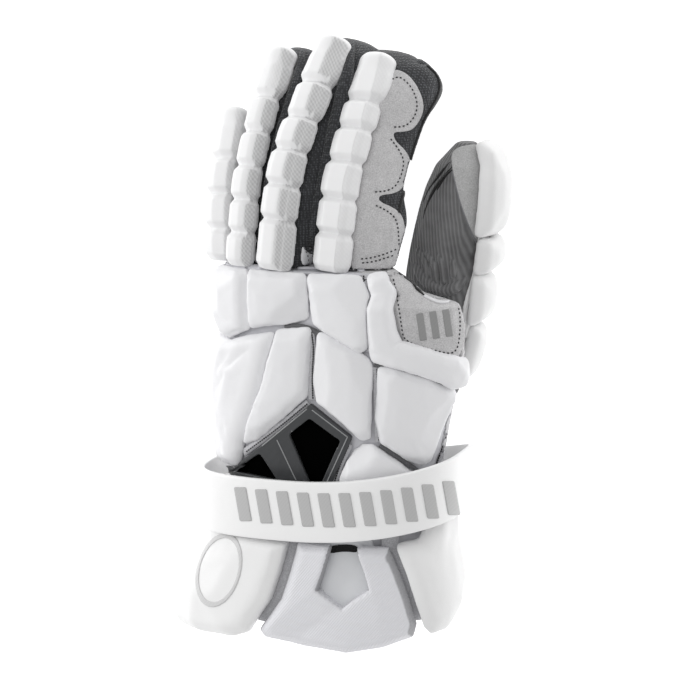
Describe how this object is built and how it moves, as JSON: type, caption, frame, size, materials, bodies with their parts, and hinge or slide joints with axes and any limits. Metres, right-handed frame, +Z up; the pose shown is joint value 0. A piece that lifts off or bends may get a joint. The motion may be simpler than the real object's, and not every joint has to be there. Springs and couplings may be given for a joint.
{
  "type": "lacrosse glove",
  "caption": "Padded sports glove for the left hand, lying palm down, with segmented finger pads, a vented back, a wrist strap and a flared cuff.",
  "frame": {"origin": "centre of the bounding box at the surface that the glove lies on", "axes": "+Y from the cuff to the fingertips, +X across the hand towards the thumb, +Z up, out of the back of the hand"},
  "size_m": [0.182, 0.3348, 0.082],
  "materials": {
    "pad_white": "smooth white synthetic leather over foam, soft sheen",
    "leather": "matt light grey palm leather",
    "mesh": "charcoal woven mesh",
    "suede": "light grey suede with stitch holes",
    "ribbed": "mid grey ribbed stretch cloth",
    "moulded": "satin off-white moulded rubber",
    "gunmetal": "satin gunmetal plastic"
  },
  "bodies": {
    "root": {"back_shell": "mesh", "cuff_frame": "moulded", "cuff_gusset_left": "mesh", "cuff_gusset_right": "mesh", "cuff_inner_pad": "moulded", "flap_left": "pad_white", "flap_right": "pad_white", "hand_pad_1": "pad_white", "hand_pad_2": "pad_white", "hand_pad_3": "pad_white", "hand_pad_4": "pad_white", "hand_pad_5": "pad_white", "index_backing": "pad_white", "index_overlay": "suede", "index_pad_1": "pad_white", "index_pad_2": "pad_white", "index_pad_3": "pad_white", "index_pad_4": "pad_white", "index_pad_5": "pad_white", "index_pad_6": "pad_white", "index_sleeve": "mesh", "knuckle_gusset": "mesh", "knuckle_pad_1": "pad_white", "knuckle_pad_2": "pad_white", "knuckle_pad_3": "pad_white", "knuckle_pad_4": "pad_white", "little_backing": "pad_white", "little_pad_1": "pad_white", "little_pad_2": "pad_white", "little_pad_3": "pad_white", "little_pad_4": "pad_white", "little_sleeve": "mesh", "middle_backing": "pad_white", "middle_pad_1": "pad_white", "middle_pad_2": "pad_white", "middle_pad_3": "pad_white", "middle_pad_4": "pad_white", "middle_pad_5": "pad_white", "middle_pad_6": "pad_white", "middle_sleeve": "mesh", "palm": "leather", "ring_backing": "pad_white", "ring_pad_1": "pad_white", "ring_pad_2": "pad_white", "ring_pad_3": "pad_white", "ring_pad_4": "pad_white", "ring_pad_5": "pad_white", "ring_pad_6": "pad_white", "ring_sleeve": "mesh", "strap": "moulded", "thumb_backing": "pad_white", "thumb_pad_1": "pad_white", "thumb_pad_2": "pad_white", "thumb_pad_3": "pad_white", "thumb_pad_4": "pad_white", "thumb_sleeve": "ribbed", "vent_frame": "gunmetal", "web_patch": "suede"}
  },
  "joints": []
}
